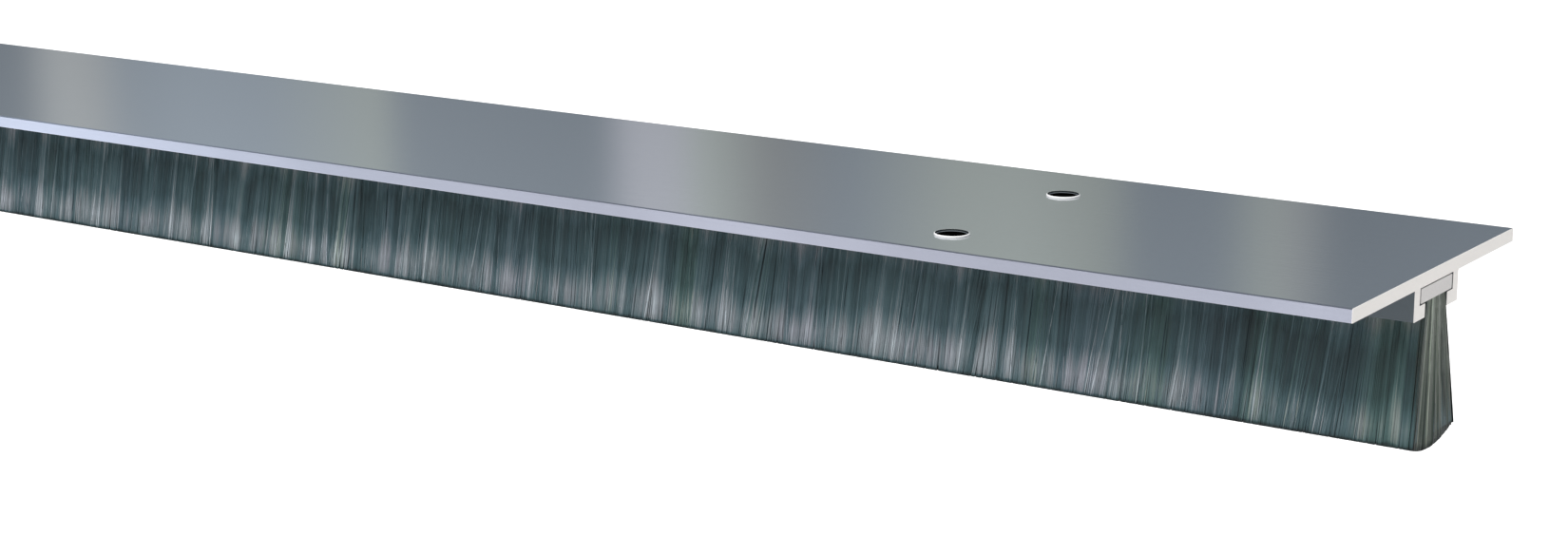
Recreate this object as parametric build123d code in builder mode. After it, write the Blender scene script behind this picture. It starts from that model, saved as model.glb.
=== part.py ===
from build123d import *
import math
import os

# Door brush seal: a straight strip that is screwed to a door and brushes along the floor or frame.
# An extruded aluminium holder carries a brush, which slides into the channel under its plate.
# The origin is the middle of the plate's top face, the face that lies on the door.
# X runs along the strip, Y across it, from the front edge to the rear one, and the bristles hang
# down along -Z. Sizes are in millimetres.

# Holder
length = 1000.0
plate_width = 60.0
plate_thickness = 2.0
wall_thickness = 1.9
lip_thickness = 2.0
outer_corner_radius = 0.15
inner_corner_radius = 0.2

# Screw holes, in a front row and a rear row, with room for the screw heads beside the channel
screw_hole_diameter = 4.5
screw_hole_edge_break = 0.15
screw_hole_pairs = 4
screw_hole_end_inset = 66.5
front_row_from_channel = 11.9
rear_row_from_channel = 5.9

# Backing bar of the brush, and the room it has in the channel
backing_width = 11.5
backing_height = 2.1
backing_corner_radius = 0.15
backing_side_clearance = 0.45
backing_seat_clearance = 0.2

# Bristles, a fan that widens from the bar to its rounded tips and leans back a little, with the
# rear tips trimmed a little shorter than the front ones
root_width = 6.6
tip_width = 15.7
tip_crown = 1.4
tip_set_back = 1.9
tip_rear_rise = 0.5
bristle_projection = 20.0
mouth_clearance = 0.15

# Furrows between the bundles of bristles, none at the lips and deepest at the tips
furrow_pitch = 5.0
furrow_width = 2.6
furrow_depth = 1.1
furrow_wander = 0.7
furrow_lean = 1.1
furrow_leans = 5
furrow_start = 0.5
cutter_margin = 0.3
golden_share = (math.sqrt(5) - 1) / 2

# Heights and widths that follow from the sizes above
slot_width = backing_width + 2 * backing_side_clearance
slot_height = backing_height + 2 * backing_seat_clearance
channel_width = slot_width + 2 * wall_thickness
slot_floor_z = -(plate_thickness + slot_height)
lip_bottom_z = slot_floor_z - lip_thickness
backing_top_z = -(plate_thickness + backing_seat_clearance)
root_z = backing_top_z - backing_height
tip_z = lip_bottom_z - bristle_projection
tip_corner_z = tip_z + tip_crown


def fan_face_y(side, z):
    """Y of the fan's front (-1) or rear (1) face at the height z."""
    share = (root_z - z) / (root_z - tip_corner_z)
    half_width = (root_width + share * (tip_width - root_width)) / 2
    return share * tip_set_back + side * half_width


def tip_corner(side):
    """Y and Z of the front (-1) or rear (1) corner of the trimmed tips."""
    z = tip_corner_z + side * tip_rear_rise / 2
    return fan_face_y(side, z), z


mouth_half_width = max(abs(fan_face_y(side, lip_bottom_z)) for side in (-1, 1)) + mouth_clearance

# The holder is one section, drawn across the strip and extruded along it.
with BuildPart() as holder_profile:
    with BuildSketch(Plane.YZ.offset(-length / 2)) as section:
        Rectangle(plate_width, plate_thickness, align=(Align.CENTER, Align.MAX))
        Rectangle(channel_width, -lip_bottom_z, align=(Align.CENTER, Align.MAX))
        with Locations((0, -plate_thickness)):
            Rectangle(slot_width, slot_height, align=(Align.CENTER, Align.MAX), mode=Mode.SUBTRACT)
        with Locations((0, slot_floor_z)):
            Rectangle(2 * mouth_half_width, lip_thickness, align=(Align.CENTER, Align.MAX), mode=Mode.SUBTRACT)
        under_plate = section.vertices().group_by(Axis.Y)[2].sort_by(Axis.X)
        fillet([under_plate[1], under_plate[-2]], inner_corner_radius)
        fillet(section.vertices().group_by(Axis.Y)[0], outer_corner_radius)
        plate_corners = section.vertices().group_by(Axis.X)
        fillet(plate_corners[0] + plate_corners[-1], outer_corner_radius)
    extrude(amount=length)

    pair_spacing = (length - 2 * screw_hole_end_inset) / (screw_hole_pairs - 1)
    row_ys = (-channel_width / 2 - front_row_from_channel, channel_width / 2 + rear_row_from_channel)
    for row_y in row_ys:
        with Locations((0, row_y)):
            with GridLocations(pair_spacing, 1, screw_hole_pairs, 1):
                Hole(screw_hole_diameter / 2)
    rounds = holder_profile.edges().filter_by(GeomType.CIRCLE)
    hole_rims = rounds.filter_by(lambda edge: math.isclose(edge.radius, screw_hole_diameter / 2))
    chamfer(hole_rims, screw_hole_edge_break)

# The bar that grips the filaments lies free in the slot, with its underside above the lips.
with BuildPart() as brush_backing:
    with BuildSketch(Plane.YZ.offset(-length / 2)) as bar_section:
        with Locations((0, backing_top_z)):
            Rectangle(backing_width, backing_height, align=(Align.CENTER, Align.MAX))
        fillet(bar_section.vertices(), backing_corner_radius)
    extrude(amount=length)

# Furrows are shared out over a few leans and two faces, so that no two neighbours are alike.
furrow_count = round(length / furrow_pitch)
furrow_spacing = length / furrow_count
furrow_start_z = lip_bottom_z - furrow_start


def furrow_feet(side, lean_index):
    """X of the lower ends of one face's furrows that have the same lean."""
    feet = []
    for number in range(furrow_count):
        turn = (number * golden_share + side * golden_share / 2) % 1
        if int(turn * furrow_leans) == lean_index:
            wander = furrow_wander * math.sin(2 * math.pi * furrow_leans * turn)
            feet.append((number + 0.5) * furrow_spacing + wander - length / 2)
    return feet


# The fan is one solid from the bar's underside to the trimmed tips.
with BuildPart() as bristles:
    with BuildSketch(Plane.YZ.offset(-length / 2)) as fan_section:
        with BuildLine():
            Polyline(tip_corner(1), (root_width / 2, root_z), (-root_width / 2, root_z), tip_corner(-1))
            SagittaArc(tip_corner(-1), tip_corner(1), -tip_crown)
        make_face()
    extrude(amount=length)

    for side in (-1, 1):
        foot_y = fan_face_y(side, tip_z)
        for lean_index in range(furrow_leans):
            lean_share = lean_index / (furrow_leans - 1)
            depth = furrow_depth * (1 + lean_share) / 2
            outer_half_width = furrow_width / 2 * (depth + cutter_margin) / depth
            with BuildSketch(Plane.XY.offset(tip_z)) as furrow_ends:
                with Locations(*[(foot_x, foot_y) for foot_x in furrow_feet(side, lean_index)]):
                    Polygon(
                        (0, -side * depth),
                        (outer_half_width, side * cutter_margin),
                        (-outer_half_width, side * cutter_margin),
                        align=None,
                    )
            run = Vector(
                furrow_lean * (2 * lean_share - 1),
                fan_face_y(side, furrow_start_z) - foot_y + side * depth,
                furrow_start_z - tip_z,
            )
            extrude(furrow_ends.sketch, amount=run.length, dir=run, mode=Mode.SUBTRACT)

holder_profile.part.label = "holder_profile"
brush_backing.part.label = "brush_backing"
bristles.part.label = "bristles"

os.makedirs("parts", exist_ok=True)
export_step(holder_profile.part, "parts/holder_profile.step")
export_step(brush_backing.part, "parts/brush_backing.step")
export_step(bristles.part, "parts/bristles.step")
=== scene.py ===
# %% [markdown]
# # A door brush seal
# A door brush seal closes the gap under or beside a door. It has three pieces: an aluminium holder
# with a flat plate and a channel, a pale plastic bar that slides along the channel, and thousands
# of dark filaments that the bar grips. The holder and the bar keep their exact solids and get a
# finish here. The filaments are too many for solids, so they are worked out as arrays of points.

import math

import bpy
import numpy as np
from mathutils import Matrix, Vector


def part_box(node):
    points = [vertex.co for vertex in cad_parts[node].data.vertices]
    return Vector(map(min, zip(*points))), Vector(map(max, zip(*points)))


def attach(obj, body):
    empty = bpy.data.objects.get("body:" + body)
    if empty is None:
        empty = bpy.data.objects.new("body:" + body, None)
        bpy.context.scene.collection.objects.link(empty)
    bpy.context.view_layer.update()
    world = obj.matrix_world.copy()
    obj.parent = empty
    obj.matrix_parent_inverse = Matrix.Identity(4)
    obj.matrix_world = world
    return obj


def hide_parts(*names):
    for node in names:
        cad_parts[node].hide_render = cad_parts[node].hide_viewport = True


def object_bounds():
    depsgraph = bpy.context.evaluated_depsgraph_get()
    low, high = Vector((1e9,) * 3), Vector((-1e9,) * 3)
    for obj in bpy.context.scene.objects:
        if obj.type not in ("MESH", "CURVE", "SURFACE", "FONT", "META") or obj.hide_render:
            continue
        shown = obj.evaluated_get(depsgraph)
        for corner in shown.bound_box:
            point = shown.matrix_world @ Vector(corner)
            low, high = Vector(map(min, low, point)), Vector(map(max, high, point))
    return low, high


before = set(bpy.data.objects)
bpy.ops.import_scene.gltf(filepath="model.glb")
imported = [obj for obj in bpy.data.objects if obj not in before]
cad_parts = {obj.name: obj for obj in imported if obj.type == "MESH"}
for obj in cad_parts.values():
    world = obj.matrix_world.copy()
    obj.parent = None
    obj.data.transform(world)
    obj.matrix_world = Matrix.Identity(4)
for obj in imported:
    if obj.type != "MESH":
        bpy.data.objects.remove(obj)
scene = bpy.context.scene
cad_low, cad_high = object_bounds()
holder_low, holder_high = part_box("holder_profile")
fan_low, fan_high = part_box("bristles")
print("the seal is", [round(high - low, 4) for low, high in zip(cad_low, cad_high)], "m")

# %% [markdown]
# ## Camera
# A camera can be placed by eye, but a long straight strip shows every small error. Its long edges
# meet at one point far to the left of the picture, and the edges of its near end at another. Those
# two points give the lens and the direction of view, and the height of the near end in the picture
# gives the distance. The place is kept as a step from the near end of the plate's top face.

# %% Camera
lens_mm, sensor_mm = 64.7, 36
near_clip = 0.01
camera_yaw = math.radians(33.94)
camera_pitch = math.radians(13.05)
near_end_to_camera = Vector((0.13754, -0.36707, 0.08816))


def add_object(name, data):
    """A new object at the origin, put into the scene."""
    made = bpy.data.objects.new(name, data)
    scene.collection.objects.link(made)
    return made


camera = add_object("camera", bpy.data.cameras.new("camera"))
camera.data.lens = lens_mm
camera.data.sensor_width = sensor_mm
camera.data.clip_start = near_clip
camera.location = Vector((holder_high[0], 0, holder_high[2])) + near_end_to_camera
camera.rotation_euler = (math.pi / 2 - camera_pitch, 0, camera_yaw)
scene.camera = camera
print("camera at", [round(place, 4) for place in camera.location])

# %% [markdown]
# ## Writing materials
# A material is a set of nodes joined by links. Written out one by one they are long and hard to
# follow, so a few small helpers keep each material to a short list of sums: one adds a node and
# fills its sockets, some do a sum or a blend, and the last ones start a node group with named
# sockets and place it in a material.


# %% Helpers for nodes
def fill(tree, socket, value):
    """Links a socket to another one, or writes a plain value into it."""
    if isinstance(value, bpy.types.NodeSocket):
        tree.links.new(value, socket)
    else:
        socket.default_value = value


def add_node(tree, kind, settings=None, **sockets):
    """A new node. Sockets are filled by name, with _ for a space, or by number as i0, i1 and so
    on."""
    node = tree.nodes.new(kind)
    for name, value in (settings or {}).items():
        setattr(node, name, value)
    for name, value in sockets.items():
        numbered = name[0] == "i" and name[1:].isdigit()
        fill(tree, node.inputs[int(name[1:]) if numbered else name.replace("_", " ")], value)
    return node


def maths(tree, operation, first, second=0.0):
    """One sum on two numbers or sockets."""
    settings = {"operation": operation}
    return add_node(tree, "ShaderNodeMath", settings, i0=first, i1=second).outputs[0]


def vector_maths(tree, operation, first, second=(0, 0, 0)):
    """One sum on two vectors or sockets."""
    settings = {"operation": operation}
    return add_node(tree, "ShaderNodeVectorMath", settings, i0=first, i1=second).outputs[0]


def split(tree, vector):
    """The three parts of a vector."""
    return add_node(tree, "ShaderNodeSeparateXYZ", None, Vector=vector).outputs


def read_attribute(tree, name):
    """The sockets of a value that the mesh stores at its points."""
    return add_node(tree, "ShaderNodeAttribute", {"attribute_name": name}).outputs


# %% Helpers for blends
def blend_colour(tree, share, first, second, way="MIX"):
    """The colour between two others, at a share from 0 to 1."""
    settings = {"data_type": "RGBA", "blend_type": way}
    return add_node(tree, "ShaderNodeMix", settings, i0=share, i6=first, i7=second).outputs[2]


def tinted(tree, colour, tint):
    """A colour multiplied by another one."""
    return blend_colour(tree, 1.0, colour, tint, "MULTIPLY")


def blend_value(tree, share, first, second):
    """The number between two others, at a share from 0 to 1."""
    return add_node(tree, "ShaderNodeMix", None, i0=share, i2=first, i3=second).outputs[0]


def soft_step(tree, value, start, end):
    """0 before start, 1 after end, and a smooth rise between them."""
    ends = {"Value": value, "From_Min": start, "From_Max": end}
    settings = {"interpolation_type": "SMOOTHSTEP"}
    return add_node(tree, "ShaderNodeMapRange", settings, **ends).outputs[0]


# %% Helpers for groups and materials
def start_group(name, inputs, outputs):
    """An empty node group with its named sockets, and the two ends that its nodes link to."""
    group = bpy.data.node_groups.new(name, "ShaderNodeTree")
    for socket_name, kind in inputs:
        group.interface.new_socket(socket_name, in_out="INPUT", socket_type=kind)
    for socket_name, kind in outputs:
        group.interface.new_socket(socket_name, in_out="OUTPUT", socket_type=kind)
    group_in = group.nodes.new("NodeGroupInput").outputs
    group_out = group.nodes.new("NodeGroupOutput").inputs
    return group, group_in, group_out


def place_group(tree, group, **sockets):
    """The outputs of a group, once it stands in a material with its own values."""
    return add_node(tree, "ShaderNodeGroup", {"node_tree": group}, **sockets).outputs


def start_material(name):
    """A material, its node tree, and the sockets of its Principled shader."""
    material = bpy.data.materials.new(name)
    material.use_nodes = True
    tree = material.node_tree
    return material, tree, tree.nodes["Principled BSDF"].inputs


def object_place(tree):
    """The place on a piece in metres, in the seal's own frame."""
    return add_node(tree, "ShaderNodeTexCoord").outputs["Object"]


# %% [markdown]
# ## Grain
# Drawn aluminium, a sawn end and moulded plastic all have a grain, in the direction in which the
# metal or the tool ran. Lines could be modelled or painted, but noise that is stretched along one
# axis gives the same look at any distance and never repeats. One group makes it for all of them.
# It takes how many times a metre the noise changes along each axis: a small number gives long
# lines.

# %% Grain group
noise_octaves = 3.0
bump_strength, bump_distance = 0.1, 0.0001

grain_sockets = [
    ("Place", "NodeSocketVector"),
    ("Changes per metre", "NodeSocketVector"),
    ("Roughness", "NodeSocketFloat"),
]
grain_group, grain_in, grain_out = start_group(
    "grain", grain_sockets, [("Height", "NodeSocketFloat")])
stretched = vector_maths(
    grain_group, "MULTIPLY", grain_in["Place"], grain_in["Changes per metre"])
fine_noise = add_node(grain_group, "ShaderNodeTexNoise", None, Vector=stretched, Scale=1.0,
                      Detail=noise_octaves, Roughness=grain_in["Roughness"]).outputs[0]
grain_group.links.new(fine_noise, grain_out["Height"])


def grain(tree, where, changes_per_metre, roughness):
    """The height of the grain, from its changes per metre and the share of its finest noise."""
    sockets = {"Place": where, "Changes_per_metre": changes_per_metre, "Roughness": roughness}
    return place_group(tree, grain_group, **sockets)["Height"]


def add_bump(tree, shader, height):
    """Tilts the surface a little with a height."""
    bump = add_node(tree, "ShaderNodeBump", None, Strength=bump_strength,
                    Distance=bump_distance, Height=height)
    fill(tree, shader["Normal"], bump.outputs[0])


print("the grain has", len(grain_group.nodes), "nodes")

# %% [markdown]
# ## Distance from a screw hole
# Each screw hole is painted black inside, a painted shade, and the two slopes of its rim carry a
# painted highlight outside and a painted shade inside. Both need the distance from the nearest
# hole. The holes lie in two rows at even steps, so the place is folded: across the strip about the
# middle between the rows, and along it by a zigzag that turns at each hole and halfway between two.
# One small sum then serves all the holes.

# %% Distance from the nearest screw hole
hole_radius = 0.00225
hole_end_inset = 0.0665
hole_pairs = 4
hole_rows_y = (-0.020, 0.014)
pair_spacing = (holder_high[0] - holder_low[0] - 2 * hole_end_inset) / (hole_pairs - 1)
row_middle_y = sum(hole_rows_y) / 2
row_half_spacing = (hole_rows_y[1] - hole_rows_y[0]) / 2
fold_start_x = holder_high[0] - hole_end_inset - pair_spacing / 2

hole_group, hole_in, hole_out = start_group(
    "screw_holes", [("Place", "NodeSocketVector")], [("Distance", "NodeSocketFloat")])
parts = split(hole_group, hole_in["Place"])
across = maths(hole_group, "ABSOLUTE", maths(hole_group, "SUBTRACT", parts[1], row_middle_y))
across = maths(hole_group, "SUBTRACT", across, row_half_spacing)
along = maths(hole_group, "SUBTRACT", parts[0], fold_start_x)
along = maths(hole_group, "PINGPONG", along, pair_spacing)
along = maths(hole_group, "SUBTRACT", along, pair_spacing / 2)
squares = [maths(hole_group, "MULTIPLY", side, side) for side in (across, along)]
distance = maths(hole_group, "SQRT", maths(hole_group, "ADD", *squares))
hole_group.links.new(distance, hole_out["Distance"])
print("pairs of screw holes are", round(pair_spacing, 4), "m apart")

# %% [markdown]
# ## Aluminium
# The holder is one piece with several finishes. Its plate is satin, with faint lines along the
# strip, and smooth enough to mirror what stands behind it. The plate's edges carry a painted
# reflection: they are brighter and cooler, bright at the far end and darker at the near end. Under
# the plate the metal keeps the dull skin of the press, darkened with painted shade, and the channel
# under the plate is darker still with painted shade. The two ends are sawn, pale and rough. Skin
# and sawn ends scatter light rather than mirror it, so they are not metallic here. The bores of the
# screw holes are painted black, a painted shade. Separate materials would need faces to be picked
# one by one, so masks worked out from the place choose between the finishes instead.

# %% Colours and sizes of the finishes
black, white = (0, 0, 0, 1), (1, 1, 1, 1)
satin_colour = (0.66, 0.69, 0.73, 1)
# Painted reflection: the edges are brighter and cooler than the plate, bright at the far end and
# darker at the near end.
edge_far_reflection_colour = (0.60, 0.67, 0.84, 1)
edge_near_reflection_colour = (0.36, 0.375, 0.45, 1)
# The underside's colour is the dull skin darkened with painted shade, and the channel's is darker
# painted shade.
skin_and_shade_colour = (0.20, 0.235, 0.27, 1)
channel_shade_colour = (0.058, 0.076, 0.090, 1)
sawn_colour = (0.92, 0.89, 0.86, 1)
# Painted shade: the bores of the screw holes are black.
bore_shade_colour = (0.004, 0.004, 0.004, 1)

satin_roughness = (0.09, 0.14)
edge_roughness, skin_roughness = 0.35, 0.5
sawn_roughness, bore_roughness = 0.55, 0.9

# Each grain has its changes per metre along X, Y and Z, and the share of its finest noise.
drawn_grain = (30, 2500, 2500), 0.6
speckle_grain = (900, 900, 900), 0.7
cloud_grain = (14, 2, 2), 0.5
saw_grain = (800, 900, 5200), 0.7

speckle_tone = 0.90
cloud_darkening, cloud_reach = 0.18, (0.35, 0.65)
edge_reflection_turn_x = (0.15, 0.4)
channel_shade_y = (0.013, 0.0083)
plate_underside = 0.002
edge_corner = 0.0003
mask_width = 0.0001
print("the plate's skin starts", plate_underside, "m below its top face")

# %% Grains and masks of the aluminium
aluminium, tree, shader = start_material("holder_aluminium")
where = object_place(tree)
parts = split(tree, where)
drawn = grain(tree, where, *drawn_grain)
speckle = grain(tree, where, *speckle_grain)
cloud = grain(tree, where, *cloud_grain)
saw = grain(tree, where, *saw_grain)

half_length, half_width = holder_high[0], holder_high[1]
from_middle_x = maths(tree, "ABSOLUTE", parts[0])
from_middle_y = maths(tree, "ABSOLUTE", parts[1])
depth = maths(tree, "MULTIPLY", parts[2], -1.0)
end_mask = soft_step(tree, from_middle_x, half_length - mask_width, half_length)
edge_start = half_width - edge_corner
edge_mask = soft_step(tree, from_middle_y, edge_start, edge_start + mask_width)
under_start = plate_underside - mask_width / 2
under_mask = soft_step(tree, depth, under_start, under_start + mask_width)
channel_shade_mask = soft_step(tree, from_middle_y, *channel_shade_y)
hole_distance = place_group(tree, hole_group, Place=where)["Distance"]
bore_shade_mask = maths(tree, "LESS_THAN", hole_distance, hole_radius + mask_width)
print("the plate's edges start", round(edge_start, 4), "m from its middle")

# %% Aluminium material
speckle_colour = [part * speckle_tone for part in satin_colour[:3]] + [1]
satin = blend_colour(tree, speckle, speckle_colour, satin_colour)
# Painted reflection on the edges, from bright far off to darker at the near end.
edge_reflection_turn = soft_step(tree, parts[0], *edge_reflection_turn_x)
edge = blend_colour(tree, edge_reflection_turn, edge_far_reflection_colour, edge_near_reflection_colour)
clouding = blend_value(tree, soft_step(tree, cloud, *cloud_reach), cloud_darkening, 0.0)
edge = blend_colour(tree, clouding, edge, black)
# Painted shade: the underside darkens towards the channel, which the plate overhangs.
skin_and_shade = blend_colour(tree, channel_shade_mask, skin_and_shade_colour, channel_shade_colour)
colour = blend_colour(tree, edge_mask, satin, edge)
colour = blend_colour(tree, under_mask, colour, skin_and_shade)
colour = blend_colour(tree, end_mask, colour, sawn_colour)
# Painted shade: black inside the screw holes.
fill(tree, shader["Base Color"], blend_colour(tree, bore_shade_mask, colour, bore_shade_colour))

roughness = blend_value(tree, drawn, *satin_roughness)
roughness = blend_value(tree, edge_mask, roughness, edge_roughness)
roughness = blend_value(tree, under_mask, roughness, skin_roughness)
roughness = blend_value(tree, end_mask, roughness, sawn_roughness)
fill(tree, shader["Roughness"], blend_value(tree, bore_shade_mask, roughness, bore_roughness))
dull_mask = maths(tree, "MAXIMUM", under_mask, end_mask)
fill(tree, shader["Metallic"], maths(tree, "SUBTRACT", 1.0, dull_mask))
add_bump(tree, shader, blend_value(tree, end_mask, drawn, saw))


def dress(piece, material):
    """Gives every slot of a piece the same material."""
    if not piece.data.materials:
        piece.data.materials.append(None)
    for number in range(len(piece.data.materials)):
        piece.data.materials[number] = material
    print(piece.name, "is", material.name, "with", len(material.node_tree.nodes), "nodes")


dress(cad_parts["holder_profile"], aluminium)

# %% [markdown]
# ## Rims of the screw holes
# A drill pushes up a thin lip round each hole. It is far too low for the exact solids, and a bump
# in the material would show nothing at a flat view, but light catches the real lip, so a person
# sees it at once. A half round profile is carried round a circle, for all the holes in one array.
# Its outer slope carries a painted highlight, and its inner one, which looks into the hole, a
# painted shade.

# %% Mesh of the rims
hole_edge_break = 0.00015
rim_height, rim_sink = 0.0003, 0.00003
rim_half_width = 0.00013
rim_radius = hole_radius + hole_edge_break + rim_half_width
rim_steps, profile_steps = 40, 9


def closed_grid_faces(rows, columns):
    """Quads of a grid that closes on itself both ways: a corner, the next one and both of the next
    row."""
    index = np.arange(rows * columns).reshape(rows, columns)
    beside, above = np.roll(index, -1, axis=1), np.roll(index, -1, axis=0)
    return np.stack([index, above, np.roll(above, -1, axis=1), beside], axis=-1).reshape(-1, 4)


def rims_mesh(name):
    """Rings of half round profile. A point at the turn a round the hole and the angle t over the
    profile lies at the rim's radius plus half its width times cos t from the hole's middle, and
    stands up by the rim's height times sin t. Its first and last points lie just inside the
    plate."""
    a = np.linspace(0, 2 * np.pi, rim_steps, endpoint=False)[:, None]
    t = np.linspace(np.pi, 0, profile_steps)[None, :]
    away = rim_radius + rim_half_width * np.cos(t)
    up = np.broadcast_to(rim_height * np.sin(t) - rim_sink, (rim_steps, profile_steps))
    ring = np.stack([away * np.cos(a), away * np.sin(a), up], axis=-1)
    pair_x = holder_high[0] - hole_end_inset - pair_spacing * np.arange(hole_pairs)
    middles = np.stack(np.meshgrid(pair_x, hole_rows_y, [holder_high[2]]), axis=-1)
    middles = middles.reshape(-1, 1, 1, 3)
    points = (ring[None] + middles).reshape(-1, 3)
    ring_faces = closed_grid_faces(rim_steps, profile_steps)
    starts = np.arange(len(middles)) * rim_steps * profile_steps
    faces = (ring_faces[None] + starts[:, None, None]).reshape(-1, 4)
    mesh = bpy.data.meshes.new(name)
    mesh.from_pydata(points.tolist(), [], faces.tolist())
    mesh.polygons.foreach_set("use_smooth", np.ones(len(faces), bool))
    return mesh


def add_piece(mesh, material, replaced=None):
    """Puts a mesh in the scene as a piece of the seal, with its finish, held by the root body's
    empty, and hides the part that it replaces."""
    piece = add_object(mesh.name, mesh)
    dress(piece, material)
    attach(piece, "root")
    if replaced:
        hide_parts(replaced)
    print(piece.name, "has", len(mesh.polygons), "faces")


# %% Rims of the screw holes
# The rim's inner colour is a painted shade and its outer colour a painted highlight.
rim_inner_shade_colour = (0.07, 0.08, 0.08, 1)
rim_outer_highlight_colour = (0.92, 0.92, 0.92, 1)
rim_roughness = 0.35

rim_metal, tree, shader = start_material("rim_aluminium")
rim_distance = place_group(tree, hole_group, Place=object_place(tree))["Distance"]
outer_side = soft_step(tree, rim_distance, rim_radius - rim_half_width / 3, rim_radius)
rim_highlight_and_shade = blend_colour(tree, outer_side, rim_inner_shade_colour, rim_outer_highlight_colour)
fill(tree, shader["Base Color"], rim_highlight_and_shade)
fill(tree, shader["Roughness"], rim_roughness)
fill(tree, shader["Metallic"], maths(tree, "SUBTRACT", 1.0, outer_side))
add_piece(rims_mesh("hole_rims"), rim_metal)

# %% [markdown]
# ## Backing bar
# The bar is pale grey plastic with a matt skin. Its sawn ends and a thin line of its underside are
# all that can be seen, so its exact solid needs no new shape: a faint grain along the strip that
# shifts its grey and its roughness is enough.

# %% Backing plastic
bar_dark_colour = (0.61, 0.59, 0.58, 1)
bar_light_colour = (0.73, 0.71, 0.70, 1)
bar_roughness = (0.45, 0.6)
moulded_grain = (300, 2500, 2500), 0.5

backing, tree, shader = start_material("backing_plastic")
moulded = grain(tree, object_place(tree), *moulded_grain)
bar_colour = blend_colour(tree, moulded, bar_dark_colour, bar_light_colour)
fill(tree, shader["Base Color"], bar_colour)
fill(tree, shader["Roughness"], blend_value(tree, moulded, *bar_roughness))
add_bump(tree, shader, moulded)
dress(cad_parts["brush_backing"], backing)

# %% [markdown]
# ## Shape of the brush
# The filaments leave the bar close together and fan out to tips that are trimmed to a shallow arc.
# A plain block with a striped material would look right from one side only, so the brush is made
# of real filaments, and they all need to know its shape. A point of the brush is named by three
# numbers: its place x along the strip, its share s across the fan, from -1 on the front face to 1
# on the rear one, and the way down w, from 0 at the roots to 1 at the tips.

# %% Fan of the brush
root_width = 0.0066
tip_crown = 0.0014
tip_rear_rise = 0.0005
tip_width = fan_high[1] - fan_low[1]
tip_set_back = (fan_high[1] + fan_low[1]) / 2
tip_corner_z = fan_low[2] + tip_crown


def fan_width(w):
    """The fan's width grows evenly from the roots' to the tips'."""
    return root_width + w * (tip_width - root_width)


def fan_point(s, w):
    """Y and Z of the fan. Y is the set-back's share plus s times half the width. Z falls evenly to
    a line between the tips' corners, which rises a little to the rear, and lower between them, by
    the crown times 1 - s squared."""
    y = w * tip_set_back + s * fan_width(w) / 2
    tip_line_z = tip_corner_z + s * tip_rear_rise / 2
    z = fan_high[2] + w * (tip_line_z - tip_crown * (1 - s ** 2) - fan_high[2])
    return y, z


print("the tips are", round(tip_width, 4), "m wide and set back by", round(tip_set_back, 4), "m")

# %% [markdown]
# ## Where filaments start and how they run
# Hair particles could draw a brush, but arrays give closed meshes whose every filament is known.
# The brush is drawn from its outside in: filaments lie in a few layers behind each face, and some
# more close each end. Every filament leans and bows a little. Part of that, and of its tone, comes
# from where it stands, so that neighbours run together as tufts do, and part is its own. Values
# that belong to a place are random numbers at even steps along the strip, with straight lines
# between them.

# %% Filaments behind the faces and at the ends
seed = 20
strip_length = fan_high[0] - fan_low[0]
filament_radius = 0.00012
face_pitch = 0.00024
front_layers, rear_layers = 5, 3
face_depth = 0.02
end_count = 1600
end_depth = 0.0006
gathering = 1.5

rng = np.random.default_rng(seed)
row_count = round(strip_length / face_pitch)
face_layers = front_layers + rear_layers
face_rows = np.tile(np.arange(row_count), face_layers)
face_x = fan_low[0] + (face_rows + rng.uniform(0, 1, len(face_rows))) * face_pitch
face_side = np.repeat([-1.0] * front_layers + [1.0] * rear_layers, row_count)
face_s = face_side * (1 - face_depth * rng.uniform(0, 1, len(face_x)) ** gathering)

end_step = end_depth * rng.uniform(0, 1, end_count) ** gathering + filament_radius
at_far_end = np.arange(end_count) % 2 == 0
end_x = np.where(at_far_end, fan_low[0] + end_step, fan_high[0] - end_step)
end_s = rng.uniform(-1, 1, end_count)

root_x = np.concatenate([face_x, end_x])
tip_s = np.concatenate([face_s, end_s])
at_end = np.arange(len(root_x)) >= len(face_x)
print(len(face_x), "filaments behind the faces and", end_count, "at the ends")


# %% Values that belong to a place
def drift(place, step, low, high):
    """A random value for each place, shared with its neighbours within about a step."""
    knots = np.arange(low - step, high + 2 * step, step)
    return np.interp(place, knots, rng.normal(0, 1, len(knots)))


def along_strip(step):
    """A value that drifts along the strip, with one pattern on each face."""
    front = drift(root_x, step, fan_low[0], fan_high[0])
    rear = drift(root_x, step, fan_low[0], fan_high[0])
    return np.where(tip_s < 0, front, rear)


def layered(scales):
    """Drifts along the strip added up, each with its weight and its step in metres."""
    return sum(weight * along_strip(step) for weight, step in scales)


def own(scale):
    """A value that each filament has for itself."""
    return rng.normal(0, scale, len(root_x))


# %% Middle lines of the filaments
rings = np.array([0, 0.4, 0.7, 0.9, 1.0])[None, :]
lean_mean, lean_own, lean_stray = -0.0011, 0.0003, 0.0008
lean_tufts = [(0.0006, 0.005)]
stray_share = 0.04
bow_size = 0.00018
end_crossing = 0.13
end_settles, end_freedom = 0.010, 0.08

from_end = np.minimum(root_x - fan_low[0], fan_high[0] - root_x)
freedom = np.clip(from_end / end_settles, end_freedom, 1)
stray = rng.uniform(0, 1, len(root_x)) < stray_share
tip_s[stray & ~at_end] = np.sign(tip_s[stray & ~at_end])
lean = lean_mean + layered(lean_tufts) + own(np.where(stray, lean_stray, lean_own))
lean = lean * freedom
bow = own(bow_size) * freedom
crossing = np.where(at_end, own(end_crossing), 0)


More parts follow.
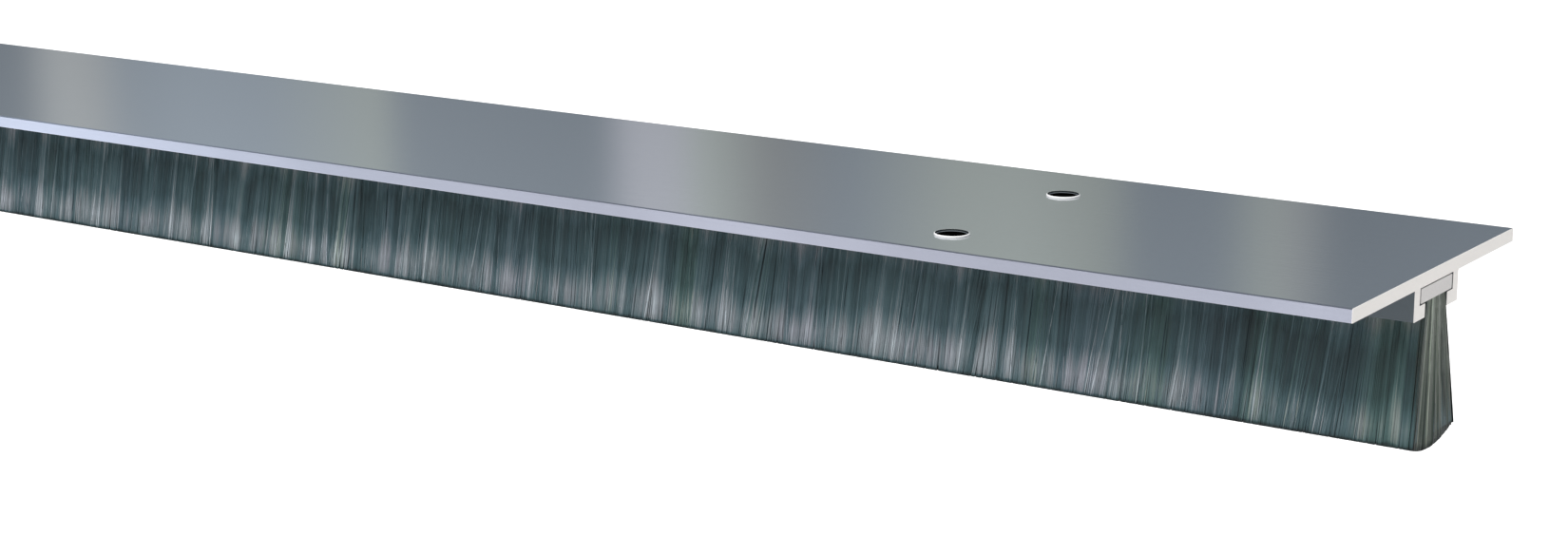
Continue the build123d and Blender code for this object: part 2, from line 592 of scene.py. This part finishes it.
def middle_lines():
    """Points down the middle of every filament: one row each, one column for each ring. X is the
    root's, plus the lean times w, plus the bow times a half wave of w. The share across the fan
    starts off by the crossing and comes to the tip's own as (1 - w) squared dies away."""
    x = root_x[:, None] + lean[:, None] * rings + bow[:, None] * np.sin(np.pi * rings)
    x = np.clip(x, fan_low[0] + filament_radius, fan_high[0] - filament_radius)
    s = np.clip(tip_s[:, None] + crossing[:, None] * (1 - rings) ** 2, -1, 1)
    y, z = fan_point(s, rings)
    return np.stack([x, y, z], axis=-1)


lines = middle_lines()
print(int(stray.sum()), "filaments are strays, which lie on the face and lean more")

# %% [markdown]
# ## Mood of the filaments
# No two filaments look alike, and neighbours look like each other. A picture of streaks could
# carry that, but it would slide over the filaments. So each filament gets a mood, which makes it
# lighter or darker, a height at which its painted light starts, and a tint, all partly shared with
# its neighbours. The mood leans a little to the bright side, strays get a painted highlight, as if
# they catch more light than the rest, and the faces darken near the ends of the strip. At the ends
# of the brush the filaments darken towards the rear face, a painted shade. The mesh stores all
# three.

# %% Mood, start of the light and tint
mood_scales, mood_own = [(0.1, 0.006), (0.3, 0.0018), (0.42, 0.0009), (0.5, 0.00045)], 0.08
bright_bias = 0.12
stray_highlight = 1.3
end_shade, end_shade_reach = 0.85, (0.024, 0.040)
end_mood_drift, end_mood_step, end_rear_shade, end_mood_own = 1.2, 0.08, 0.6, 0.4
start_scales, start_own = [(0.02, 0.010), (0.045, 0.0016)], 0.02
tint_scales, tint_own = [(0.8, 0.005)], 0.4

mood = layered(mood_scales)
mood = mood + bright_bias * (mood ** 2 - np.mean(mood ** 2)) + own(mood_own)
mood -= end_shade * np.interp(from_end, end_shade_reach, (1, 0))
# Strays get a painted highlight.
mood[stray] += stray_highlight
end_drift = end_mood_drift * drift(tip_s[at_end], end_mood_step, -1, 1)
# Painted shade: the filaments at the ends of the brush darken towards the rear face.
end_drift = end_drift - end_rear_shade * tip_s[at_end]
mood[at_end] = end_drift + rng.normal(0, end_mood_own, end_count)
light_start = layered(start_scales) + own(start_own)
tint = layered(tint_scales) + own(tint_own)
facing = np.column_stack([at_end * np.sign(root_x), ~at_end * np.sign(tip_s), 0 * root_x])
print("mood from", round(float(mood.min()), 2), "to", round(float(mood.max()), 2))

# %% [markdown]
# ## Filament meshes
# A filament could be a curve with a thickness, but thousands of curves are slow to turn into
# meshes. Each one is a thin closed prism with three sides instead, which from any distance looks
# round. All the prisms of a stretch are one mesh, built from whole arrays: points by filament,
# ring and corner, and quads between rings. The tips are trimmed after the brush is made, so the
# last ring of every prism lies on the fan's curved underside.


# %% Filament meshes
def trimmed_height(y):
    """Z of the trimmed tips at a place across the fan."""
    s = np.clip((y - tip_set_back) / (tip_width / 2), -1, 1)
    return fan_point(s, 1.0)[1]


def prism_faces(shape):
    """Quads between the rings and a cap at each end, for points by filament, ring and corner."""
    index = np.arange(np.prod(shape)).reshape(shape)
    after = np.roll(index, -1, axis=2)
    walls = [index[:, :-1], index[:, 1:], after[:, 1:], after[:, :-1]]
    caps = np.concatenate([index[:, 0], index[:, -1, ::-1]])
    return np.stack(walls, axis=-1).reshape(-1, 4), caps


def store(mesh, label, kind, field, values):
    """Stores a value for every point of a mesh."""
    attribute = mesh.attributes.new(label, kind, "POINT")
    attribute.data.foreach_set(field, values.astype(np.float32).ravel())


def filament_mesh(name, kept):
    """A mesh of the kept filaments as closed prisms. Corner k of a ring lies at the middle line
    plus the radius times the cosine and sine of the turn plus k thirds of a circle, along X and
    along Y. The mesh stores how far down each point is, and the filament's mood and facing."""
    corners = 3
    angles = turns[kept][:, None] + 2 * np.pi * np.arange(corners) / corners
    rim = np.stack([np.cos(angles), np.sin(angles), np.zeros_like(angles)], axis=-1)
    points = lines[kept][:, :, None, :] + radii[kept][:, :, None, None] * rim[:, None, :, :]
    points[:, -1, :, 2] = trimmed_height(points[:, -1, :, 1])
    shape = points.shape[:3]
    walls, caps = prism_faces(shape)

    mesh = bpy.data.meshes.new(name)
    mesh.vertices.add(points.size // 3)
    mesh.vertices.foreach_set("co", points.ravel())
    mesh.loops.add(walls.size + caps.size)
    mesh.loops.foreach_set("vertex_index", np.concatenate([walls.ravel(), caps.ravel()]))
    sizes = np.concatenate([np.full(len(walls), 4), np.full(len(caps), corners)])
    mesh.polygons.add(len(sizes))
    mesh.polygons.foreach_set("loop_start", np.concatenate([[0], np.cumsum(sizes)[:-1]]))
    mesh.update(calc_edges=True)
    mesh.polygons.foreach_set("use_smooth", sizes == 4)

    strands = np.stack([mood[kept], light_start[kept], tint[kept]], axis=-1)
    for label, vectors in (("strand", strands), ("facing", facing[kept])):
        at_points = np.broadcast_to(vectors[:, None, None, :], shape + (3,))
        store(mesh, label, "FLOAT_VECTOR", "vector", at_points)
    store(mesh, "down", "FLOAT", "value", np.broadcast_to(rings[:, :, None], shape))
    return mesh


# %% [markdown]
# ## Filament materials
# The plate keeps light from the upper part of the brush, and there the filaments are a dark
# blue-green. Lower down the light reaches between them, and they show grey, with single bright
# hairs, down to a dark line at the tips, which is painted shade. Lamps alone can't give all of
# that, because much of it is light that wanders between thin filaments. So this light and shade are
# painted: the material reads a level from a profile of the way down, dark where the plate shades
# the brush, lighter where light reaches it and dark again at the tips, and multiplies it by e to
# the power of the mood. For the same reason the normals are turned partly towards the way the whole
# face looks.

# %% Levels and hues of the filaments
filament_roughness, filament_specular = 0.45, 0.2
facing_share = 3.5
spread_turn = (0.45, 0.8)
hue_turn = (0.05, 0.20)
tint_start, tint_full = 0.5, 1.5
level_cap = 0.85
lilac_tint = (1.04, 0.985, 1.03, 1)
green_tint = (0.98, 1.05, 0.91, 1)
face_dark_hue, face_light_hue = (0.54, 1.03, 1.17, 1), (0.905, 1.02, 1.10, 1)
end_dark_hue, end_light_hue = (0.76, 1.02, 0.90, 1), (0.91, 1.0, 0.91, 1)
face_spreads, end_spreads = (0.38, 0.46), (0.5, 0.6)
# Both profiles are painted light and shade: dark where the plate shades the brush, lighter where
# light reaches it, and a dark line of painted shade at the tips.
face_light_profile = [
    (0.0, 0.25), (0.12, 0.215), (0.22, 0.108), (0.34, 0.054), (0.45, 0.058), (0.56, 0.070),
    (0.64, 0.071), (0.72, 0.107), (0.79, 0.143), (0.85, 0.169), (0.93, 0.147), (0.97, 0.115),
    (0.985, 0.035), (1.0, 0.012),
]
end_light_profile = [(0.0, 0.28), (0.3, 0.20), (0.6, 0.14), (0.95, 0.115), (0.975, 0.055), (1.0, 0.012)]
print("the face's level is highest at", max(face_light_profile[3:], key=lambda stop: stop[1])[0])


# %% Filament materials
def level_ramp(tree, down, profile):
    """A grey ramp that gives the level at each stop of a profile."""
    ramp = add_node(tree, "ShaderNodeValToRGB", None, Fac=down)
    stops = ramp.color_ramp.elements
    while len(stops) < len(profile):
        stops.new(0.5)
    for stop, (place, level) in zip(stops, profile):
        stop.position = place
        stop.color = (level, level, level, 1)
    return ramp.outputs[0]


def strand_level(tree, tone, start, profile, spreads):
    """The level on a filament: the profile's at the way down, shifted by the start of the light
    times a half wave, times e to the power of the mood times its spread."""
    down = read_attribute(tree, "down")["Fac"]
    wave = maths(tree, "SINE", maths(tree, "MULTIPLY", down, math.pi))
    shifted = maths(tree, "ADD", down, maths(tree, "MULTIPLY", start, wave))
    spread = blend_value(tree, soft_step(tree, shifted, *spread_turn), *spreads)
    gain = maths(tree, "EXPONENT", maths(tree, "MULTIPLY", spread, tone))
    level = maths(tree, "MULTIPLY", level_ramp(tree, shifted, profile), gain)
    return maths(tree, "MINIMUM", level, level_cap)


def leaning_normal(tree):
    """The surface's normal, turned towards the way the whole face looks."""
    turn = {"vector_type": "NORMAL", "convert_from": "OBJECT", "convert_to": "WORLD"}
    looks = read_attribute(tree, "facing")["Vector"]
    looks = add_node(tree, "ShaderNodeVectorTransform", turn, Vector=looks).outputs[0]
    looks = vector_maths(tree, "MULTIPLY", looks, (facing_share, facing_share, facing_share))
    normal = add_node(tree, "ShaderNodeNewGeometry").outputs["Normal"]
    return vector_maths(tree, "NORMALIZE", vector_maths(tree, "ADD", normal, looks))


def filament_material(name, profile, spreads, dark_hue, light_hue):
    """A material for filaments, with its level profile, the spread of their moods above and below,
    and the hues of its dark and light parts."""
    material, tree, shader = start_material(name)
    tone, start, tint_value = split(tree, read_attribute(tree, "strand")["Vector"])
    level = strand_level(tree, tone, start, profile, spreads)
    hue = blend_colour(tree, soft_step(tree, level, *hue_turn), dark_hue, light_hue)
    lilac_share = soft_step(tree, tint_value, -tint_start, -tint_full)
    green_share = soft_step(tree, tint_value, tint_start, tint_full)
    lilac = blend_colour(tree, lilac_share, white, lilac_tint)
    green = blend_colour(tree, green_share, white, green_tint)
    hue = tinted(tree, hue, tinted(tree, lilac, green))
    grey = add_node(tree, "ShaderNodeCombineColor", None, Red=level, Green=level, Blue=level)
    fill(tree, shader["Base Color"], tinted(tree, hue, grey.outputs[0]))
    fill(tree, shader["Roughness"], filament_roughness)
    fill(tree, shader["Specular IOR Level"], filament_specular)
    fill(tree, shader["Normal"], leaning_normal(tree))
    return material


face_filament = filament_material(
    "bristle_filament", face_light_profile, face_spreads, face_dark_hue, face_light_hue)
end_filament = filament_material(
    "bristle_end_filament", end_light_profile, end_spreads, end_dark_hue, end_light_hue)
print("a filament's material has", len(face_filament.node_tree.nodes), "nodes")

# %% Build the brush in stretches
stretch_count = 6
radius_range = (0.8, 1.2)
thinning = np.array([1.0, 1.0, 0.95, 0.85, 0.7])
radii = filament_radius * rng.uniform(*radius_range, len(root_x))[:, None] * thinning
turns = rng.uniform(0, 2 * np.pi, len(root_x))
stretch = np.minimum((root_x - fan_low[0]) * stretch_count // strip_length, stretch_count - 1)
for number in range(stretch_count):
    mesh = filament_mesh(f"bristles_{number + 1}", (stretch == number) & ~at_end)
    add_piece(mesh, face_filament, "bristles")
end_mesh = filament_mesh("bristles_at_ends", at_end)
add_piece(end_mesh, end_filament, "bristles")

# %% [markdown]
# ## Heart of the brush
# Behind the outer filaments the brush is packed too densely to see through. More filaments there
# would cost millions of triangles that nobody sees, so one closed shape, a little inside the fan,
# stands for that mass. It is the fan's outline carried along the strip. Its sides have the
# filaments' own levels, with their painted light and shade, so that a gap between filaments shows
# more of the same, and its underside shows the cut tips as small round cells, with painted shade
# in the gaps between them.

# %% Mesh of the heart
side_inset = 0.0002
tip_inset = 0.00008
arc_steps = 13


def heart_mesh(name):
    """The fan's outline, set in from its faces, at both ends: down the front face, along the tips
    and up the rear face. Quads join the two outlines, and each is closed by one face."""
    s = np.concatenate([[-1.0], np.linspace(-1, 1, arc_steps), [1.0]])
    w = np.concatenate([[0.0], np.ones(arc_steps), [0.0]])
    y, z = fan_point(s * (1 - 2 * side_inset / fan_width(w)), w)
    z = z + np.where(w > 0, tip_inset, -tip_inset)
    ends = [fan_low[0] + side_inset, fan_high[0] - side_inset]
    points = np.concatenate([np.stack([np.full_like(y, x), y, z], axis=-1) for x in ends])
    index = np.arange(len(y))
    after = np.roll(index, -1)
    walls = np.stack([index, index + len(y), after + len(y), after], axis=-1)
    caps = [index.tolist(), (index + len(y))[::-1].tolist()]
    mesh = bpy.data.meshes.new(name)
    mesh.from_pydata(points.tolist(), [], walls.tolist() + caps)
    return mesh


# %% Heart of the brush
heart_dark_hue, heart_light_hue = (0.50, 0.84, 0.94, 1), (0.78, 1.04, 1.12, 1)
cut_tip_colour, gap_shade_colour = (0.05, 0.06, 0.062, 1), (0.006, 0.008, 0.009, 1)
cells_per_metre, cell_edge = 3300.0, (0.2, 0.6)
underside_start, underside_full = 0.0006, 0.0003
heart_roughness = 0.6
packed_grain = (3500, 3500, 120), 0.6

heart_material, tree, shader = start_material("bristle_heart")
where = object_place(tree)
depth = maths(tree, "MULTIPLY", split(tree, where)[2], -1.0)
packed = grain(tree, where, *packed_grain)
side_hue = blend_colour(tree, packed, heart_dark_hue, heart_light_hue)
down = maths(tree, "DIVIDE", maths(tree, "ADD", depth, fan_high[2]), fan_high[2] - tip_corner_z)
# Painted light and shade: the sides take the filaments' levels down the fan.
side_colour = tinted(tree, side_hue, level_ramp(tree, down, face_light_profile))
flat = vector_maths(tree, "MULTIPLY", where, (1, 1, 0))
cells = add_node(tree, "ShaderNodeTexVoronoi", None, Vector=flat, Scale=cells_per_metre)
# Painted shade: near black in the gaps between the cut tips.
shaded_gap = soft_step(tree, cells.outputs["Distance"], *cell_edge)
tip_colour = blend_colour(tree, shaded_gap, cut_tip_colour, gap_shade_colour)
underside = soft_step(
    tree, depth, -tip_corner_z - underside_start, -tip_corner_z - underside_full)
fill(tree, shader["Base Color"], blend_colour(tree, underside, side_colour, tip_colour))
fill(tree, shader["Roughness"], heart_roughness)
fill(tree, shader["Specular IOR Level"], filament_specular)
add_piece(heart_mesh("bristle_heart"), heart_material, "bristles")

# %% [markdown]
# ## Floor and studio
# The floor is pale and keeps a soft shadow. More light would turn it white, and wash out the seal
# too, so its own glow does it, for the camera and for mirrored rays only. The sky is made white in
# the same way.

# %% Floor
floor_drop = 0.16
floor_size = 60.0
floor_glow = 0.5
floor_colour = (0.85, 0.85, 0.85, 1)


def seen_mask(tree):
    """1 for rays from the camera and for mirrored or refracted ones, and 0 for rays that light."""
    kinds = add_node(tree, "ShaderNodeLightPath").outputs
    seen = maths(tree, "MAXIMUM", kinds["Is Camera Ray"], kinds["Is Glossy Ray"])
    return maths(tree, "MAXIMUM", seen, kinds["Is Transmission Ray"])


def add_stage(name, points, faces, material):
    """Puts a surface of the studio in the scene."""
    mesh = bpy.data.meshes.new(name)
    mesh.from_pydata(points, [], faces)
    mesh.materials.append(material)
    surface = add_object(name, mesh)
    return surface


def start_stage_material(name):
    """A material without nodes, and its tree."""
    material = bpy.data.materials.new(name)
    material.use_nodes = True
    material.node_tree.nodes.clear()
    return material, material.node_tree


floor_material, tree = start_stage_material("pale_floor")
diffuse = add_node(tree, "ShaderNodeBsdfDiffuse", None, Color=floor_colour).outputs[0]
glow_strength = maths(tree, "MULTIPLY", seen_mask(tree), floor_glow)
glow = add_node(tree, "ShaderNodeEmission", None, Strength=glow_strength).outputs[0]
both = add_node(tree, "ShaderNodeAddShader", None, i0=diffuse, i1=glow).outputs[0]
add_node(tree, "ShaderNodeOutputMaterial", None, Surface=both)
half = floor_size / 2
floor_z = cad_low[2] - floor_drop
corner_signs = [(-1, -1), (1, -1), (1, 1), (-1, 1)]
floor_corners = [(x * half, y * half, floor_z) for x, y in corner_signs]
add_stage("floor", floor_corners, [(0, 1, 2, 3)], floor_material)
print("the floor lies at", round(floor_z, 4), "m")

# %% Sky of the studio
ambient_strength, seen_strength = 0.6, 1.0
world = bpy.data.worlds.new("studio")
world.use_nodes = True
scene.world = world
tree = world.node_tree
tree.nodes.clear()
strength = blend_value(tree, seen_mask(tree), ambient_strength, seen_strength)
sky = add_node(tree, "ShaderNodeBackground", None, Color=white, Strength=strength).outputs[0]
add_node(tree, "ShaderNodeOutputWorld", None, Surface=sky)
print("the sky lights with a strength of", ambient_strength)

# %% [markdown]
# ## Banded card
# Metal shows what stands around it, so the studio matters as much as the metal. A picture of a
# room could be mirrored, but bands worked out on a mesh can be put where the plate needs them. The
# card is a drum with a lid, which only mirrored rays meet. Its bands are given as angles round the
# drum's middle, from the direction of the strip's rear edge, with a brightness and one of four
# faint tints at each, and blend evenly from one to the next. The wall grows a little brighter with
# height, which makes the plate lighter towards its front edge, and the lid is an even grey.

# %% Bands of the card
cool, neutral = (0.82, 0.93, 1.04), (0.95, 0.99, 1.0)
green, pale = (0.92, 1.0, 0.95), (0.91, 0.93, 1.01)
bands = [
    (-180.0, 0.40, neutral), (-152.0, 0.30, cool), (-143.0, 0.46, pale), (-131.0, 0.42, green),
    (-124.0, 0.30, cool), (-96.0, 0.36, neutral), (-66.0, 0.30, cool), (-49.2, 0.31, cool),
    (-48.6, 0.54, neutral), (-47.8, 0.49, neutral), (-47.2, 0.42, cool), (-46.0, 0.455, cool),
    (-44.5, 0.44, cool), (-42.1, 0.46, green), (-41.8, 0.34, cool), (-37.6, 0.305, cool),
    (-37.2, 0.54, pale), (-36.2, 0.53, pale), (-35.6, 0.455, green), (-34.2, 0.285, neutral),
    (-32.6, 0.305, cool), (-30.4, 0.395, green), (-29.0, 0.405, green), (-27.3, 0.34, green),
    (-26.6, 0.265, cool), (-24.9, 0.27, cool), (-24.0, 0.37, green), (-23.4, 0.33, neutral),
    (-22.6, 0.23, cool), (-20.0, 0.25, cool), (-2.0, 0.24, cool), (6.0, 0.32, neutral),
    (13.0, 0.42, green), (15.0, 0.28, cool), (30.0, 0.26, cool), (33.0, 0.44, pale),
    (38.0, 0.36, green), (46.0, 0.27, cool), (90.0, 0.34, neutral), (112.0, 0.46, pale),
    (124.0, 0.42, green), (131.0, 0.30, cool), (152.0, 0.32, cool), (180.0, 0.40, neutral),
]
print("the card has", len(bands), "stops")

# %% Mesh of the card
card_middle = (0.64, -0.37)
card_radius = 4.0
card_columns = 1200
wall_heights = (-0.4, 0.3, 0.95, 3.0)
lid_height, lid_closing = 3.4, 100

card_material, tree = start_stage_material("studio_card")
light = read_attribute(tree, "light")["Color"]
shine = add_node(tree, "ShaderNodeEmission", None, Color=light, Strength=1.0).outputs[0]
add_node(tree, "ShaderNodeOutputMaterial", None, Surface=shine)

degrees = np.linspace(bands[0][0], bands[-1][0], card_columns)
around = np.radians(degrees)
reach = np.stack([card_radius * np.sin(around), card_radius * np.cos(around)], axis=-1)


def card_row(step, height):
    """One ring of the drum's points, at a step from its middle and a height."""
    return np.column_stack([card_middle + step, np.full(card_columns, height)])


rows = [card_row(reach, height) for height in wall_heights]
rows.append(card_row(reach / lid_closing, lid_height))
index = np.arange(len(rows) * card_columns).reshape(-1, card_columns)
card_faces = [index[:-1, :-1], index[:-1, 1:], index[1:, 1:], index[1:, :-1]]
card_faces = np.stack(card_faces, axis=-1).reshape(-1, 4)
card_points = np.concatenate(rows)
card = add_stage("studio_card", card_points.tolist(), card_faces.tolist(), card_material)
print("the card has", len(card_faces), "faces")

# %% Light of the card
card_rise, level_height = 1.0, 0.67
least_gain, most_gain = 0.6, 1.25
lid_light = (0.42, 0.45, 0.47)

angles, levels, tints = [np.array(column) for column in zip(*bands)]
band_light = [np.interp(degrees, angles, levels * tints[:, part]) for part in range(3)]
band_light = np.column_stack(band_light)
height_gain = 1 + card_rise * (np.array(wall_heights) - level_height)
height_gain = np.clip(height_gain, least_gain, most_gain)
card_light = [band_light * gain for gain in height_gain] + [np.tile(lid_light, (card_columns, 1))]
card_light = np.column_stack([np.concatenate(card_light), np.ones(len(card_points))])
store(card.data, "light", "FLOAT_COLOR", "color", card_light)
card.visible_camera = False
card.visible_diffuse = False
card.visible_shadow = False
card.visible_transmission = False
print("the wall's light is", np.round(height_gain, 2).tolist(), "of its bands, from the bottom up")

# %% [markdown]
# ## Lamps
# A bare bulb would give every filament a hard shadow, so both lamps are soft squares. One stands
# in front of the strip and above it, at an angle at which the plate shades the upper half of the
# brush. The other hangs overhead for the plate and the floor. No mirrored ray meets them, because
# the card gives the plate all that it mirrors.

# %% Lamps
front_step, front_size, front_power = (0.2, -1.6, 0.85), 0.8, 22
top_step, top_size, top_power = (0.2, 0.3, 2.0), 1.5, 20


def add_softbox(name, step, size, power):
    """A square lamp at a step from the middle of the strip, turned to face it."""
    middle = (Vector(cad_low) + Vector(cad_high)) / 2
    lamp = add_object(name, bpy.data.lights.new(name, "AREA"))
    lamp.data.size = size
    lamp.data.energy = power
    lamp.location = middle + Vector(step)
    lamp.rotation_euler = (-Vector(step)).to_track_quat("-Z", "Y").to_euler()
    lamp.visible_camera = False
    lamp.visible_glossy = False
    print(name, "has", power, "W")


add_softbox("front_softbox", front_step, front_size, front_power)
add_softbox("top_softbox", top_step, top_size, top_power)

# %% View settings and closing lines
bpy.context.scene.view_settings.view_transform = "Standard"
